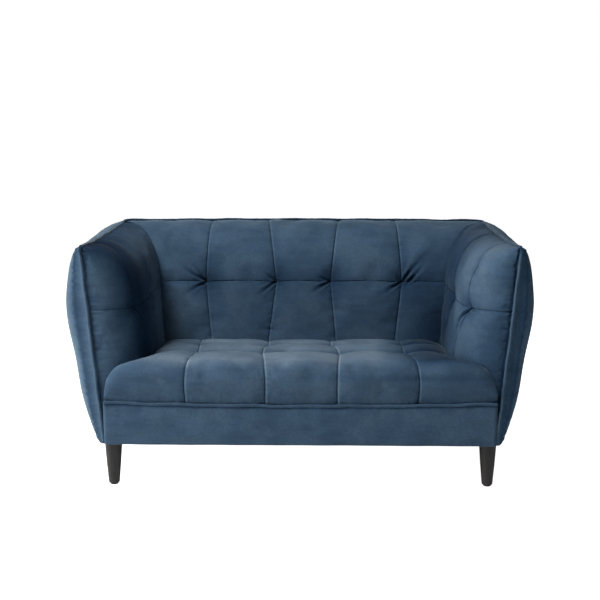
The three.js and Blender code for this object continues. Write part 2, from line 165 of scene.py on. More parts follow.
def cloudy(a, b, size, seed):
    """A smooth, irregular field of about unit height over a panel, its clouds about `size` wide."""
    rng = np.random.default_rng(seed)
    total = 0
    for angle in rng.uniform(0, 2 * np.pi, 7):
        pitch = size * rng.uniform(0.7, 1.6)
        run = a * math.cos(angle) + b * math.sin(angle)
        total = total + np.sin(2 * np.pi * run / pitch + rng.uniform(0, 2 * np.pi))
    return total / 2.6


def puckered(away, along, depth, pitch, seed):
    """Small gathers beside a piped seam."""
    return depth * ripple(along, pitch, seed) * np.exp(-away / 0.016) * (1 - np.exp(-away / 0.003))


# ---- Profiles: how padding rounds over from a seam -----------


class Rounding:
    """The outline of padding that swells from EDGE at a seam to full thickness, and then runs on."""

    def __init__(self, thickness, reach, power=2.4, length=1.2):
        turn = np.linspace(0, np.pi / 2, 240)
        away = reach * (1 - np.cos(turn) ** (2 / power))
        thick = EDGE + (thickness - EDGE) * np.sin(turn) ** (2 / power)
        self.away = np.append(away, length)
        self.thick = np.append(thick, thickness)
        steps = np.hypot(np.diff(self.away), np.diff(self.thick))
        self.run = np.append(0, np.cumsum(steps))
        self.full = thickness

    def away_at(self, run):
        return np.interp(run, self.run, self.away)

    def thick_at(self, run):
        return np.interp(run, self.run, self.thick)

    def share_at(self, run):
        return (self.thick_at(run) - EDGE) / (self.full - EDGE)

    def run_at(self, away):
        return np.interp(away, self.away, self.run)


# ---- Quilted panels ------------------------------------------

# A look says how a quilted cover is sewn and filled, and where its pile gets painted shade and
# highlights. Its lengths are in metres.
#   dome                      how far the middle of each cell stands out
#   column_crease, row_crease depth to which the seams draw the cover in
#   tuft, tuft_reach          depth and width of the hollow at each tuft
#   ends                      depth and width of the hollow along the first and last column
#   gathers                   height of the gathers beside the piping, at the top and at the front
#   bank                      how strong the painted highlight on the lit bank of each long seam is
#   edge                      painted shade beside the piping (a painted highlight where negative), and how far it reaches
#   folds                     for each tuft, by row and column, the measures of its folds
#   spare, pressure           share of spare cloth in the cover, and how hard the foam pushes
#   seed                      starts the irregular parts of the shape

CLOTH_FRAMES = 14
MOST_MOVED = 0.012  # no point of the cloth moves further than this
FREE_FROM = 0.09  # this far below the top piping the cloth moves freely


class Quilt:
    """A cover sewn in cells.

    `surface(a, b)` is the smooth form in panel coordinates, metres along the cloth. `columns` are
    functions a(b), one for each seam or edge that runs across the rows; `rows` are the values of b of
    the others, and between columns each inner row bows by `bow`. `out` points to the visible side.
    """

    def __init__(self, surface, columns, rows, bow, out):
        self.surface, self.columns, self.rows = surface, columns, np.array(rows)
        self.bow, self.out = bow, np.array(out)

    def lay(self, p, q):
        """Panel coordinates and seam distances of the points p cells across and q cells along."""
        p, q = p[:, None], q[None, :]
        inner = np.arange(1, len(self.rows) - 1)
        bow = sum(np.clip(1 - abs(q - j), 0, 1) for j in inner) * self.bow
        b = np.interp(q, np.arange(len(self.rows)), self.rows) + bow * bump(p % 1)
        across = np.stack([column(b) for column in self.columns])
        cell = np.minimum(p.astype(int), len(self.columns) - 2)
        left = np.take_along_axis(across, np.broadcast_to(cell, b.shape)[None], 0)[0]
        right = np.take_along_axis(across, np.broadcast_to(cell + 1, b.shape)[None], 0)[0]
        return lerp(left, right, p - cell), b

    def tuft_places(self):
        """(a, b) where inner columns cross inner rows."""
        return [[(column(row), row) for column in self.columns[1:-1]] for row in self.rows[1:-1]]


def spread(steps, crowd=0.72):
    """Cell coordinates, steps[i] of them in cell i, crowded towards the seams."""
    places = []
    for cell, count in enumerate(steps):
        share = np.arange(count) / count
        places.append(cell + share - crowd * np.sin(2 * np.pi * share) / (2 * np.pi))
    return np.append(np.concatenate(places), len(steps))


def refined(values):
    """The same row of values with one more between each two."""
    fine = np.empty(2 * len(values) - 1)
    fine[::2] = values
    fine[1::2] = (values[1:] + values[:-1]) / 2
    return fine


def refined_grid(grid):
    """A grid of vectors with one more between each two, on a smooth curve through its neighbours."""
    for axis in (0, 1):
        g = np.moveaxis(grid, axis, 0)
        padded = np.concatenate([2 * g[:1] - g[1:2], g, 2 * g[-1:] - g[-2:-1]])
        between = (9 * (padded[1:-2] + padded[2:-1]) - padded[:-3] - padded[3:]) / 16
        fine = np.empty((2 * len(g) - 1, *g.shape[1:]))
        fine[::2] = g
        fine[1::2] = between
        grid = np.moveaxis(fine, 0, axis)
    return grid


def normals(points, out):
    """Unit normals of a grid of points, on the side that `out` points to."""
    cross = np.cross(np.gradient(points, axis=0), np.gradient(points, axis=1))
    if (cross @ out).mean() < 0:
        cross = -cross
    return cross / np.maximum(np.linalg.norm(cross, axis=2, keepdims=True), 1e-12)


def drawn_in(distance, depth, reach):
    """A crease: how far the cover lies back at a distance from a sewn line."""
    return -depth * np.exp(-(np.hypot(distance, 0.0012) - 0.0012) / reach)


def fold(da, db, angle, length, depth, shift=0):
    """A fold of spare cloth that runs out from a tuft, or beside it, at `angle` in degrees."""
    turn = math.radians(angle)
    along = da * math.cos(turn) + db * math.sin(turn)
    across = db * math.cos(turn) - da * math.sin(turn) - shift
    aside = across / (0.0035 + 0.06 * np.clip(along, 0, None))
    strength = ramp(along, 0.25 * length) * np.exp(-((along / length) ** 2))
    return depth * strength * (0.55 * np.exp(-((abs(aside) - 1.9) ** 2)) - np.exp(-(aside**2)))


def folded(quilt, a, b, look):
    """The folds at the tufts."""
    height = np.zeros(a.shape)
    for (row, column), folds in look["folds"].items():
        a0, b0 = quilt.tuft_places()[row][column]
        for measures in folds:
            height += fold(a - a0, b - b0, *measures)
    return height


def relief(quilt, p, q, a, b, look):
    """How far each point stands out from the smooth form."""
    height = np.zeros(a.shape)
    dome = (bump(p % 1)[:, None] * bump(q % 1)[None, :]) ** 0.7
    height += look["dome"] * dome
    for column in quilt.columns[1:-1]:
        height += drawn_in(a - column(b), look["column_crease"], 0.014)
    for row in quilt.rows[1:-1]:
        bowed = row + quilt.bow * bump(p % 1)[:, None]
        height += drawn_in(b - bowed, look["row_crease"], 0.016)
    for row in quilt.tuft_places():
        for a0, b0 in row:
            away = np.hypot(a - a0, b - b0)
            height += drawn_in(away, look["tuft"], look["tuft_reach"])
    height += folded(quilt, a, b, look)
    for column in (quilt.columns[0], quilt.columns[-1]):
        height += drawn_in(a - column(b), *look["ends"])
    return height + 0.0012 * cloudy(a, b, 0.12, look["seed"])


def sewn(quilt, p, q, a, b):
    """Where the cover is pinned: its edges, seams and tufts."""
    pinned = np.zeros(a.shape)
    pinned[abs(p - np.round(p)) < 1e-6, :] = 0.85
    pinned[:, abs(q - np.round(q)) < 1e-6] = 0.85
    pinned[[0, -1], :] = 1
    pinned[:, [0, -1]] = 1
    for row in quilt.tuft_places():
        for a0, b0 in row:
            pinned = np.maximum(pinned, np.exp(-((np.hypot(a - a0, b - b0) / 0.01) ** 4)))
    return pinned


def stitched(quilt, p, a, b, look):
    """The fine groove of each seam with small puckers beside it, and gathers at the piping."""
    height = np.zeros(a.shape)
    lines = [(a - column(b), b, 0.0024) for column in quilt.columns[1:-1]]
    for row in quilt.rows[1:-1]:
        lines.append((b - row - quilt.bow * bump(p % 1)[:, None], a, 0.0017))
    for number, (away, along, depth) in enumerate(lines):
        height -= depth * np.exp(-((away / 0.0016) ** 2))
        pucker = ripple(along, 0.021, look["seed"] + number) * ripple(along, 0.09, number)
        height += 0.0008 * pucker * np.exp(-((abs(away) - 0.006) ** 2) / 0.005**2)
    top, front = look["gathers"]
    height += puckered(b, a, top, 0.022, look["seed"] + 7)
    return height + puckered(a - quilt.columns[0](b), b, front, 0.019, look["seed"] + 8)


def painted_edge_shade(away, depth=0.5, reach=0.006):
    """Painted shade beside a piped seam, where the cover is pressed into the groove.

    At a negative depth it is a painted highlight instead, where the cover stands up.
    """
    return 1 - depth * np.exp(-((away / reach) ** 2))


def lit_bank(quilt, a, b):
    """A painted highlight on the far bank of each long seam, which faces the light."""
    banks = [np.exp(-(((a - column(b) - 0.0048) / 0.0024) ** 2)) for column in quilt.columns[1:-1]]
    return 1 + sum(banks)


def painted_shading(quilt, a, b, height, sewing, look):
    """Painted shade in grooves, folds, hollows and beside the piping, and painted highlights on the
    lit banks.
    """
    creased = np.minimum(sewing + folded(quilt, a, b, look), 0)
    dark = np.maximum(np.exp(creased / 0.004), 0.5) * np.exp(np.minimum(height, 0) / 0.026)
    piped_front = look["gathers"][1] > 0
    beside = np.minimum(b, a - quilt.columns[0](b)) if piped_front else b
    return dark * lit_bank(quilt, a, b) ** look["bank"] * painted_edge_shade(beside, *look["edge"])


def quilted(quilt, p_steps, q_steps, look):
    """The points of a finished quilted cover, and the painted shade and highlights of its pile in
    seams and folds.

    The cloth is simulated on a coarse grid, and its movement is carried over to one twice as fine.
    """
    p, q = spread(p_steps), spread(q_steps)
    a, b = quilt.lay(p, q)
    form = quilt.surface(a, b)
    start = form + normals(form, quilt.out) * relief(quilt, p, q, a, b, look)[..., None]
    moved = settled(start, sewn(quilt, p, q, a, b), quilt.out, look) - start
    p, q = refined(p), refined(q)
    a, b = quilt.lay(p, q)
    form = quilt.surface(a, b)
    out = normals(form, quilt.out)
    moved = refined_grid(moved) * ramp(b, FREE_FROM)[..., None]
    height = relief(quilt, p, q, a, b, look)
    points = form + out * height[..., None] + moved
    sewing = stitched(quilt, p, a, b, look)
    points = points + normals(points, quilt.out) * sewing[..., None]
    return points, painted_shading(quilt, a, b, height, sewing, look)


# ---- Cloth ---------------------------------------------------


def grid_faces(rows, columns):
    """The quads of a grid."""
    at = np.arange(rows * columns).reshape(rows, columns)
    return np.stack([at[:-1, :-1], at[1:, :-1], at[1:, 1:], at[:-1, 1:]], -1).reshape(-1, 4)


def faces_for(points, out):
    """The quads of a grid of points, turned so that they face the side that `out` points to."""
    faces = grid_faces(*points.shape[:2])
    cross = np.cross(np.gradient(points, axis=0), np.gradient(points, axis=1))
    return faces if (cross @ out).mean() > 0 else faces[:, ::-1]


def mesh_object(name, points, faces):
    """A smooth-shaded mesh in the scene."""
    mesh = bpy.data.meshes.new(name)
    mesh.from_pydata(np.asarray(points).reshape(-1, 3).tolist(), [], faces)
    mesh.polygons.foreach_set("use_smooth", np.ones(len(mesh.polygons), bool))
    mesh.update()
    piece = bpy.data.objects.new(name, mesh)
    bpy.context.collection.objects.link(piece)
    return piece


def settled(points, pinned, out, look):
    """The grid of points after it has hung as cloth from its pinned points, pushed out by foam."""
    cloth = mesh_object("cloth", points, faces_for(points, out).tolist())
    group = cloth.vertex_groups.new(name="sewn")
    for index, weight in enumerate(pinned.ravel().tolist()):
        if weight > 0.02:
            group.add([index], weight, "REPLACE")
    modifier = cloth.modifiers.new("cloth", "CLOTH")
    settings = modifier.settings
    settings.quality = 4
    settings.mass = 0.3
    settings.tension_stiffness = 15
    settings.compression_stiffness = 12
    settings.shear_stiffness = 5
    settings.bending_stiffness = 0.25
    settings.vertex_group_mass = "sewn"
    settings.pin_stiffness = 6
    settings.shrink_min = -look["spare"]
    settings.use_pressure = True
    settings.uniform_pressure_force = look["pressure"]
    settings.effector_weights.gravity = 0
    modifier.collision_settings.use_collision = False
    for number in range(1, CLOTH_FRAMES + 1):
        bpy.context.scene.frame_set(number)
    evaluated = cloth.evaluated_get(bpy.context.evaluated_depsgraph_get())
    moved = np.empty(points.size)
    evaluated.data.vertices.foreach_get("co", moved)
    bpy.data.objects.remove(cloth)
    bpy.context.scene.frame_set(1)
    step = moved.reshape(points.shape) - points
    length = np.linalg.norm(step, axis=2, keepdims=True)
    capped = MOST_MOVED * np.tanh(length / MOST_MOVED)
    return points + step * capped / np.maximum(length, 1e-9)


# ---- Pieces --------------------------------------------------


def rim(rows, columns):
    """Indices of a grid's outermost points, once round."""
    at = np.arange(rows * columns).reshape(rows, columns)
    return np.concatenate([at[:-1, 0], at[-1, :-1], at[:0:-1, -1], at[0, :0:-1]])


def set_painted_light(piece, values):
    """Stores the painted light and shade of each point; a rim or back that isn't given takes the
    mean.
    """
    count = len(piece.data.vertices)
    painted_light = np.full(count, np.mean(values))
    painted_light[: np.size(values)] = np.ravel(values)
    piece.data.attributes.new("painted_light", "FLOAT", "POINT").data.foreach_set("value", painted_light)


def padded_piece(name, points, out, tuck, node, painted_light=1.0):
    """A closed piece: a visible cover, a rim tucked in behind it by `tuck`, and a plain back."""
    rows, columns = points.shape[:2]
    faces = faces_for(points, out)
    loop = rim(rows, columns)
    flat = points.reshape(-1, 3)
    inner = tuck(flat[loop].copy())
    start = len(flat)
    after = np.roll(np.arange(len(loop)), -1)
    band = np.stack([loop, loop[after], start + after, start + np.arange(len(loop))], -1)
    # The band shares its edges with the cover, and each shared edge has to run both ways.
    edges = set(map(tuple, np.stack([faces.ravel(), np.roll(faces, -1, 1).ravel()], -1).tolist()))
    if (loop[0], loop[1]) in edges:
        band = band[:, ::-1]
        back = list(range(start, start + len(loop)))
    else:
        back = list(range(start + len(loop) - 1, start - 1, -1))
    piece = mesh_object(name, np.concatenate([flat, inner]), faces.tolist() + band.tolist() + [back])
    set_painted_light(piece, painted_light)
    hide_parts(node)
    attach(piece, "root")


def mirror_points(points):
    """The same points on the left-hand side."""
    return points * (-1, 1, 1)


def mirrored(tuck):
    """The same way to tuck a rim in, for a piece on the left-hand side."""
    return lambda rim_points: mirror_points(tuck(mirror_points(rim_points)))


# ---- Back pad ------------------------------------------------

BACK_ROUND = Rounding(BACK_PAD, 0.24, 2)
TUFT_Z = 0.607
MEETS_SEAT_Z = 0.387
HIDDEN_Z = 0.335  # the pad runs on below the seat's surface, out of sight
BACK_OUT = (0, -1, 0.3)

# Each seam of the back: its X at the top, at its tuft and where it meets the seat.
BACK_SEAMS = (
    (-0.348, -0.361, -0.341),
    (-0.134, -0.098, -0.127),
    (0.136, 0.103, 0.124),
    (0.350, 0.369, 0.344),
)


def back_z(b):
    """Height of a place on the back pad, `b` along the cloth from its top."""
    return BACK_TOP - BESIDE - BACK_ROUND.away_at(b)


def back_b(z):
    """The opposite: how far along the cloth a height is."""
    return BACK_ROUND.run_at(BACK_TOP - BESIDE - z)


def mitre_x(z):
    """Where the back pad meets the arm pads."""
    return arm_x(z) - EDGE - (ARM_PAD - EDGE) * swell(BACK_TOP - z, 0.2)


def top_bow(x):
    """The back's top edge stands a little higher in the middle than at its corners."""
    return 0.004 * (1 - (x / REAR_TOP_HALF) ** 2)


def back_surface(a, b):
    """The back pad's smooth form."""
    z = back_z(b)
    return np.stack([a, back_y(z) - BACK_ROUND.thick_at(b), z + top_bow(a)], -1)


def mitre_overlap(z):
    """How far the back pad and the arm pads reach into each other."""
    return 0.005 + 0.009 * swell(BACK_TOP - WELT - z, 0.06)


def back_edge(b):
    """The back pad's side edge, a little way inside the arm pad, and into the corner at its top."""
    z = back_z(b)
    corner = 0.032 * np.exp((z - BACK_TOP) / 0.004)
    return mitre_x(z) + mitre_overlap(z) + corner


def back_quilt():
    """One row of tufts, and seams that run in a zigzag through them."""
    knots = [0, back_b(TUFT_Z), back_b(MEETS_SEAT_Z)]
    seams = [lambda b, xs=xs: np.interp(b, knots, xs) for xs in BACK_SEAMS]
    columns = [lambda b: -back_edge(b), *seams, back_edge]
    rows = (0, back_b(TUFT_Z), back_b(HIDDEN_Z))
    return Quilt(back_surface, columns, rows, -0.004, BACK_OUT)


BACK_LOOK = {
    "seed": 11,
    "dome": 0.004,
    "column_crease": 0.0035,
    "row_crease": 0.003,
    "tuft": 0.024,
    "tuft_reach": 0.045,
    "ends": (0.002, 0.02),
    "gathers": (0.0012, 0),
    "bank": 0.65,
    "edge": (-0.8, 0.013),
    "folds": {
        (0, 0): [(215, 0.06, 0.009), (234, 0.05, 0.008), (150, 0.05, 0.008), (128, 0.035, 0.005)],
        (0, 1): [(168, 0.04, 0.005), (146, 0.055, 0.008), (218, 0.035, 0.004)],
        (0, 2): [(152, 0.05, 0.008), (205, 0.035, 0.004)],
        (0, 3): [
            (-52, 0.1, 0.011),
            (-52, 0.095, 0.009, 0.019),
            (150, 0.05, 0.008),
            (-20, 0.04, 0.004),
        ],
    },
    "spare": 0.006,
    "pressure": 0.8,
}


def back_painted_light(points):
    """Painted shade low down at the right end, and painted light low down at the left end."""
    x, z = points[..., 0], points[..., 2]
    right, left = ramp(x - 0.3, 0.2), ramp(-x - 0.3, 0.1)
    deep = ramp(0.78 - z, 0.3)
    return 1.05 - deep * (0.75 * right - 0.25 * left)


def build_back_pad():
    """The inner back, between the arms."""

    def tuck(rim_points):
        rim_points[:, 1] = back_y(rim_points[:, 2]) - 0.5 * EDGE
        rim_points[:, 2] -= 0.002
        return rim_points

    points, shade = quilted(back_quilt(), [16, 22, 20, 22, 16], [38, 30], BACK_LOOK)
    # Painted light and shade: from the place on the pad, and in its seams, folds and hollows.
    painted_light = back_painted_light(points) * shade
    padded_piece("back_pad_cover", points, BACK_OUT, tuck, "back_pad", painted_light)


# ---- Arm pads ------------------------------------------------

ARM_TOP_ROUND = Rounding(ARM_PAD, 0.2)
ARM_FRONT_ROUND = Rounding(ARM_PAD, 0.17, 2)
ARM_TUFT_Z = 0.592
ARM_END_Y = 0.2  # about where the arm pads meet the back pad
ARM_OUT = np.array((-1, -0.4, 0.3))
# Each seam of an arm pad: its Y at these heights, from the piping down to below the seat.
ARM_SEAM_Z = (0.806, 0.73, ARM_TUFT_Z, 0.54, 0.46, 0.30)
ARM_SEAMS = (
    (-0.215, -0.284, -0.285, -0.243, -0.213, -0.21),
    (0.03, -0.035, -0.046, -0.036, 0.012, 0.02),
)


def arm_y(a):
    """Y of a place on an arm pad, `a` along the cloth from its front edge."""
    return FRONT_Y + BESIDE + ARM_FRONT_ROUND.away_at(a)


def arm_a(y):
    """The opposite: how far along the cloth a Y is."""
    return ARM_FRONT_ROUND.run_at(y - FRONT_Y - BESIDE)


def arm_z(y, b):
    """Height of a place on an arm pad, `b` along the cloth from its top edge."""
    return arm_top(along_arm(y)) - BESIDE - ARM_TOP_ROUND.away_at(b)


def arm_b(z):
    """The opposite, for the middle of the arm, where the welt dips."""
    return ARM_TOP_ROUND.run_at(ARM_TOP - 0.006 - z)


def arm_surface(a, b):
    """The right arm pad's smooth form, rounded at its front and its top."""
    y = arm_y(a)
    z = arm_z(y, b)
    share = ARM_FRONT_ROUND.share_at(a) * ARM_TOP_ROUND.share_at(b)
    return np.stack([arm_x(z, along_arm(y)) - EDGE - (ARM_PAD - EDGE) * share, y, z], -1)


def arm_mitre_a(b):
    """The arm pad's rear edge, a little way inside the back pad."""
    z = arm_z(ARM_END_Y, b)
    thick = EDGE + (BACK_PAD - EDGE) * swell(BACK_TOP - WELT - z, 0.24, 2)
    return arm_a(back_y(z) - thick + mitre_overlap(z))


def arm_quilt():
    """Two seams down the arm, and one level seam that crosses them at the tufts."""
    knots = [arm_b(z) for z in ARM_SEAM_Z]
    seams = [lambda b, ys=ys: arm_a(np.interp(b, knots, ys)) for ys in ARM_SEAMS]
    columns = [lambda b: 0 * b, *seams, arm_mitre_a]
    rows = (0, arm_b(ARM_TUFT_Z), arm_b(BASE + 0.004))
    return Quilt(arm_surface, columns, rows, -0.003, ARM_OUT)


ARM_LOOK = {
    "seed": 23,
    "dome": 0.003,
    "column_crease": 0.002,
    "row_crease": 0.003,
    "tuft": 0.02,
    "tuft_reach": 0.035,
    "ends": (0.004, 0.009),
    "gathers": (0.0014, 0.0026),
    "bank": 0,
    "edge": (0.5, 0.006),
    "folds": {
        (0, 0): [(48, 0.08, 0.011), (72, 0.06, 0.007), (175, 0.03, 0.003)],
        (0, 1): [(-82, 0.065, 0.009), (60, 0.05, 0.005)],
    },
    "spare": 0.006,
    "pressure": 0.8,
}

# The left arm is filled more tightly, so its seams show less.
LEFT_ARM_LOOK = {
    **ARM_LOOK,
    "seed": 29,
    "dome": 0.0015,
    "column_crease": 0.001,
    "row_crease": 0.0015,
    "tuft": 0.014,
    "folds": {(0, 0): [(48, 0.05, 0.004)], (0, 1): [(-82, 0.05, 0.004)]},
    "spare": 0.003,
    "pressure": 0.4,
}


def tuck_arm_pad(rim_points):
    """The right pad's rim lies at the arm's seam plane."""
    seam = arm_x(rim_points[:, 2], along_arm(rim_points[:, 1]))
    rim_points[:, 0] = seam - 0.3 * EDGE
    rim_points[:, 1] += 0.002
    return rim_points


def right_arm_painted_light(points):
    """Painted light in front, and painted shade beside the front piping, rearwards and low down."""
    rearward = points[..., 1] - FRONT_Y
    lowered = ramp(0.62 - points[..., 2], 0.15)
    light = 1.5 - 0.6 * np.exp(-rearward / 0.035) - 1.05 * ramp(rearward - 0.13, 0.25)
    return light * (1 - 0.33 * lowered)


def left_arm_painted_light(points):
    """Painted shade along the top and behind the front edge, and painted light again at the rear."""
    rearward = points[..., 1] - FRONT_Y
    dark = ramp(rearward, 0.1) - 1.6 * ramp(rearward - 0.16, 0.25)
    rolled = np.exp((points[..., 2] - arm_top(along_arm(points[..., 1]))) / 0.05)
    return lerp(1.3, 0.4, dark) * (1 - 0.7 * rolled)


def build_arm_pads():
    """The inner sides. The left one is laid out on the right and then mirrored."""
    steps = ([26, 24, 16], [30, 44])
    points, shade = quilted(arm_quilt(), *steps, ARM_LOOK)
    # Painted light and shade on each arm pad: from its place, and in its seams, folds and hollows.
    painted_light, tuck = right_arm_painted_light(points) * shade, tuck_arm_pad
    padded_piece("arm_pad_cover_right", points, ARM_OUT, tuck, "arm_pad_right", painted_light)
    points, shade = quilted(arm_quilt(), *steps, LEFT_ARM_LOOK)
    painted_light, tuck = left_arm_painted_light(points) * shade**0.5, mirrored(tuck_arm_pad)
    points, out = mirror_points(points), mirror_points(ARM_OUT)
    padded_piece("arm_pad_cover_left", points, out, tuck, "arm_pad_left", painted_light)


# ---- Seat ----------------------------------------------------

SHOULDER = Rounding(0.125, 0.115, 2.2, length=3.0)
# The seat's side view, from its welt up the front face and back to the back pad: (y, z).
SEAT_SIDE = (
    (FRONT_Y - 0.008, SEAT_WELT_Z + 0.004),
    (SEAT_FRONT_Y + 0.006, SEAT_WELT_Z + 0.03),
    (SEAT_FRONT_Y + 0.001, SEAT_WELT_Z + 0.07),
    (SEAT_FRONT_Y + 0.007, SEAT_CROWN - 0.032),
    (SEAT_FRONT_Y + 0.030, SEAT_CROWN - 0.009),
    (SEAT_FRONT_Y + 0.075, SEAT_CROWN + 0.001),
    (SEAT_FRONT_Y + 0.150, SEAT_CROWN + 0.001),
    (-0.120, SEAT_CROWN - 0.007),
    (0.0, SEAT_CROWN - 0.018),
    (0.145, SEAT_CROWN - 0.042),
)
# Each seam of the seat: its X on the front face, at the first and second row of tufts, and at the
# back.
SEAT_SEAMS = (
    (-0.375, -0.356, -0.368, -0.379),
    (-0.114, -0.134, -0.123, -0.128),
    (0.122, 0.129, 0.104, 0.104),
    (0.386, 0.353, 0.355, 0.361),
)
SEAT_ROWS_Y = (-0.19, -0.02)
SEAT_UNDER_ARMS = 0.012  # how far the seat reaches into the arm pads
SEAT_OUT = (0, -0.6, 1)


def smooth_path(points, steps=24):
    """Points along a smooth curve through the given ones."""
    knots = np.array(points, float)
    padded = np.concatenate([2 * knots[:1] - knots[1:2], knots, 2 * knots[-1:] - knots[-2:-1]])
    t = (np.arange(steps) / steps)[:, None]
    path = []
    for p0, p1, p2, p3 in zip(padded, padded[1:], padded[2:], padded[3:]):
        bend = 2 * p0 - 5 * p1 + 4 * p2 - p3
        path.append(p1 + 0.5 * t * (p2 - p0 + t * (bend + t * (3 * (p1 - p2) + p3 - p0))))
    return np.concatenate([*path, knots[-1:]])


SEAT_PATH = smooth_path(SEAT_SIDE)
SEAT_RUN = np.append(0, np.cumsum(np.hypot(*np.diff(SEAT_PATH, axis=0).T)))


def seat_y(b):
    """Y of a place on the seat, `b` along the cloth from the welt."""
    return np.interp(b, SEAT_RUN, SEAT_PATH[:, 0])


def seat_b(y):
    """The opposite, for places on the seat's top."""
    top = SEAT_PATH[:, 1] > SEAT_CROWN - 0.03
    return np.interp(y, SEAT_PATH[top, 0], SEAT_RUN[top])


def seat_half(b):
    """Half the seat's width: it fills the space between the arm pads."""
    y = seat_y(b)
    share = swell(y - FRONT_Y - WELT, 0.17, 2) * swell(arm_top(along_arm(y)) - SEAT_CROWN, 0.2)
    between = arm_x(SEAT_CROWN, along_arm(y)) - EDGE - (ARM_PAD - EDGE) * share
    return np.minimum(SEAT_HALF, between + SEAT_UNDER_ARMS)


def shoulder_scale(b):
    """The shoulders grow a little wider between the arms."""
    return lerp(1.0, 1.1, ramp(seat_y(b) - FRONT_Y, 0.25))


def seat_a(x, b):
    """How far along the cloth an X is, from the seat's middle."""
    inside = (seat_half(b) - abs(x)) / shoulder_scale(b)
    side = SHOULDER.run_at(seat_half(b) / shoulder_scale(b))
    return np.sign(x) * (side - SHOULDER.run_at(inside))


def seat_edge_a(b):
    """How far along the cloth the seat's side is."""
    return SHOULDER.run_at(seat_half(b) / shoulder_scale(b))


def seat_surface(a, b):
    """The seat's smooth form: its side view, with shoulders that round down at both sides."""
    run = np.clip(seat_edge_a(b) - abs(a), 0, None)
    inside = SHOULDER.away_at(run) * shoulder_scale(b)
    x = np.sign(a) * (seat_half(b) - inside)
    y = seat_y(b) + 0.014 * (1 - swell(inside, 0.06, 2)) * (seat_y(b) < 0)
    rise = np.interp(b, SEAT_RUN, SEAT_PATH[:, 1]) - SEAT_WELT_Z
    drop = 1 - SHOULDER.share_at(run)
    welt_z = SEAT_WELT_Z + SEAT_WELT_RISE * (x / SEAT_HALF) ** 2
    z = welt_z + rise * (1 - 0.86 * drop * lerp(1, 0.6, (y > -0.2)))
    return np.stack([x, y, z], -1)


def seat_quilt():
    """Seams from the welt over the crown to the back, and two rows of tufts."""
    knots = [0, seat_b(-0.40) * 0.9, seat_b(SEAT_ROWS_Y[0]), seat_b(SEAT_ROWS_Y[1]), SEAT_RUN[-1]]
    seams = []
    for xs in SEAT_SEAMS:
        path = smooth_path(list(zip(knots, (xs[0], *xs))))
        seams.append(lambda b, path=path: seat_a(np.interp(b, path[:, 0], path[:, 1]), b))
    rows = (0, *(seat_b(y) for y in SEAT_ROWS_Y), SEAT_RUN[-1])
    columns = [lambda b: -seat_edge_a(b), *seams, seat_edge_a]
    return Quilt(seat_surface, columns, rows, 0.006, SEAT_OUT)


SEAT_LOOK = {
    "seed": 37,
    "dome": 0.007,
    "column_crease": 0.003,
    "row_crease": 0.010,
    "tuft": 0.014,
    "tuft_reach": 0.035,
    "ends": (0.003, 0.01),
    "gathers": (0.0008, 0),
    "bank": 0.8,
    "edge": (0.15, 0.006),
    "folds": {
        (0, 0): [(200, 0.035, 0.003), (-30, 0.03, 0.003)],
        (0, 3): [(-20, 0.035, 0.003)],
        (1, 3): [(35, 0.05, 0.005), (55, 0.04, 0.004)],
    },
    "spare": 0.004,
    "pressure": 0.6,
}


def seat_painted_light(points):
    """Painted light on top, except at the right end, which gets painted shade, and a band of painted
    shade across the front.
    """
    x, y, z = np.moveaxis(points, -1, 0)
    top, right = ramp(y + 0.4, 0.04), ramp(x - 0.25, 0.17)
    band = np.exp(-(((z - SEAT_CROWN + 0.045) / 0.013) ** 2))
    painted_light = (1.12 + 1.05 * top * (1 - right)) * (1 - (0.12 + 0.62 * top) * right)
    return painted_light * (1 - 0.22 * band * ramp(x + 0.1, 0.2))


def build_seat():
    """The tufted seat."""

    def tuck(rim_points):
        rim_points[:, 0] *= 0.985
        rim_points[:, 1] = np.clip(rim_points[:, 1], FRONT_Y + 0.01, 0.14)
        rim_points[:, 2] = SEAT_WELT_Z + 0.002
        return rim_points

    points, shade = quilted(seat_quilt(), [26, 22, 20, 22, 26], [38, 16, 13], SEAT_LOOK)
    # Painted light and shade: from the place on the seat, and in its seams, folds and hollows.
    painted_light = seat_painted_light(points) * shade
    padded_piece("seat_cover", points, SEAT_OUT, tuck, "seat_cushion", painted_light)


# ---- Front border --------------------------------------------


def crowded(count):
    """Shares from 0 to 1, close together at both ends."""
    return (1 - np.cos(np.linspace(0, np.pi, count))) / 2


BORDER_STRAIGHT = 0.86  # share of the cloth that runs straight down; the rest turns under


def build_front_border():
    """The plain panel under the seat, pulled taut over the front rail and turned under it."""
    side = 2 * crowded(240)[:, None] - 1
    down = np.linspace(0, 1, 46)[None, :]
    top = SEAT_WELT_Z + SEAT_WELT_RISE * side**2 - 0.002
    turn = ramp(down - BORDER_STRAIGHT, 1 - BORDER_STRAIGHT) * np.pi / 2
    straight = ramp(down, BORDER_STRAIGHT)
    z = lerp(top, BASE + 0.008, straight) - 0.0085 * np.sin(turn)
    x = side * BORDER_HALF
    inside = (1 - abs(side)) * BORDER_HALF
    face = BORDER_Y - 0.004 - 0.003 * bump(straight) * swell(inside, 0.2, 2)
    face = face + 0.011 * (1 - swell(inside, 0.014, 2))
    face = face + 0.0009 * cloudy(x, z, 0.16, 5) - 0.0008 * ripple(x, 0.05, 6) * (1 - straight) ** 3
    y = face + 0.012 * (1 - np.cos(turn))
    points = np.stack(np.broadcast_arrays(x, y, z), -1)

    def tuck(rim_points):
        rim_points[:, 0] *= 0.995
        rim_points[:, 1] = FRONT_Y + 0.003
        rim_points[:, 2] = np.clip(rim_points[:, 2], BASE + 0.002, SEAT_WELT_Z - 0.004)
        return rim_points

    # Painted light towards the left end, and painted shade just under the seat's piping.
    painted_light = (1 + 0.15 * ramp(-side - 0.3, 1)) * painted_edge_shade(top - z - 0.003)
    padded_piece("front_border_cover", points, (0, -1, 0), tuck, "front_border", painted_light)


